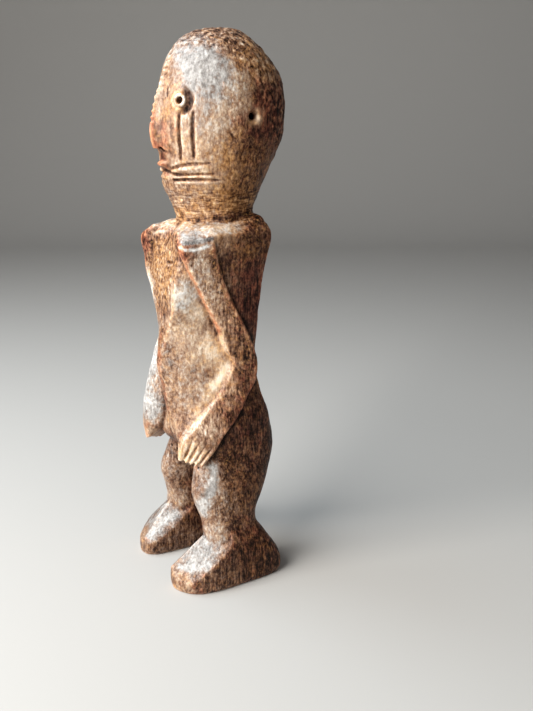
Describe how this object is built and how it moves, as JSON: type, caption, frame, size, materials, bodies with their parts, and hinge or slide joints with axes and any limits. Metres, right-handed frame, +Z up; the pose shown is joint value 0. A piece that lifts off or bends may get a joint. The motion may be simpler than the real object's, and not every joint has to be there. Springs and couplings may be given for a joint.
{
  "type": "carved standing figure",
  "caption": "Carved wooden standing figure with a long ovoid head, bead eyes, grooved cheeks, arms held to the body and broad flat feet.",
  "frame": {"origin": "bottom centre of the figure's box, on the floor under its feet", "axes": "+Z up, the figure faces -Y, its left side is +X"},
  "size_m": [0.1328, 0.132, 0.48],
  "materials": {
    "wood": "worn dark patina, semi-gloss",
    "bead": "pale glazed bead"
  },
  "bodies": {
    "root": {"figure": "wood", "left_eye_bead": "bead", "right_eye_bead": "bead"}
  },
  "joints": []
}
